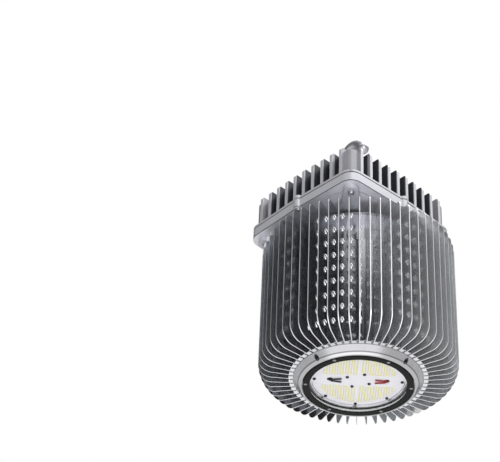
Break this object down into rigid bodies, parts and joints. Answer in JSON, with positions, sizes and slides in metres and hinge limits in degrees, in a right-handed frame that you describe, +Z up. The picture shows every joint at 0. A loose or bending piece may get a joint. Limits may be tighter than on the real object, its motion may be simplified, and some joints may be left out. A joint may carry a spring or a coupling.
{
  "type": "high bay light",
  "caption": "Hanging high bay light: round heat sink of swept radial fins, glazed light board in a black bezel underneath, ribbed driver box and snap hook on top.",
  "frame": {"origin": "on the lamp's axis, level with the underside of the black bezel, which is the lowest face", "axes": "Z is up along the axis toward the hook; X runs through two opposite sides of the driver box and toward the open side of the hook"},
  "size_m": [0.2996, 0.2996, 0.4715],
  "materials": {
    "black_anodised": "black anodised",
    "screw_steel": "satin",
    "clear_glass": "clear",
    "seal_rubber": "matt",
    "board_white": "satin",
    "phosphor_yellow": "matt",
    "lead_black": "satin",
    "lead_red": "satin",
    "turned_aluminium": "turned",
    "fin_aluminium": "bright rolled sheet",
    "box_paint": "satin grey powder coat",
    "driver_case": "satin",
    "terminal_plastic": "gloss",
    "gland_nylon": "matt",
    "hook_steel": "zinc plated",
    "gate_steel": "blackened spring wire"
  },
  "bodies": {
    "lamp": {"lens_bezel": "black_anodised", "bezel_screws": "screw_steel", "lens_glass": "clear_glass", "lens_gasket": "seal_rubber", "led_board": "board_white", "led_rows": "phosphor_yellow", "board_screws": "screw_steel", "black_leads": "lead_black", "red_leads": "lead_red", "base_plate": "turned_aluminium", "base_screws": "screw_steel", "core_tube": "fin_aluminium", "core_cap": "turned_aluminium", "lead_conduits": "fin_aluminium", "cooling_fins": "fin_aluminium", "mounting_bracket": "box_paint", "bracket_screws": "screw_steel", "housing_base": "box_paint", "housing_gasket": "seal_rubber", "housing_body": "box_paint", "corner_screws": "screw_steel", "side_screws": "screw_steel", "driver_left": "driver_case", "driver_right": "driver_case", "terminal_block": "terminal_plastic", "gland_body": "gland_nylon", "gland_cap": "gland_nylon", "gland_locknut": "gland_nylon", "gland_plug": "seal_rubber", "hook_body": "hook_steel", "hook_washer": "screw_steel", "hook_nuts": "screw_steel", "gate_pin": "screw_steel"},
    "gate": {"hook_gate": "gate_steel"}
  },
  "joints": [
    {"name": "gate_pivot", "type": "hinge", "parent": "lamp", "child": "gate", "pos_m": [0.0145, -0.009, 0.4195], "axis": [0, -1, 0], "range_deg": [0, 30], "stiffness_Nm_per_rad": 0.02, "springref_deg": -11.46}
  ]
}
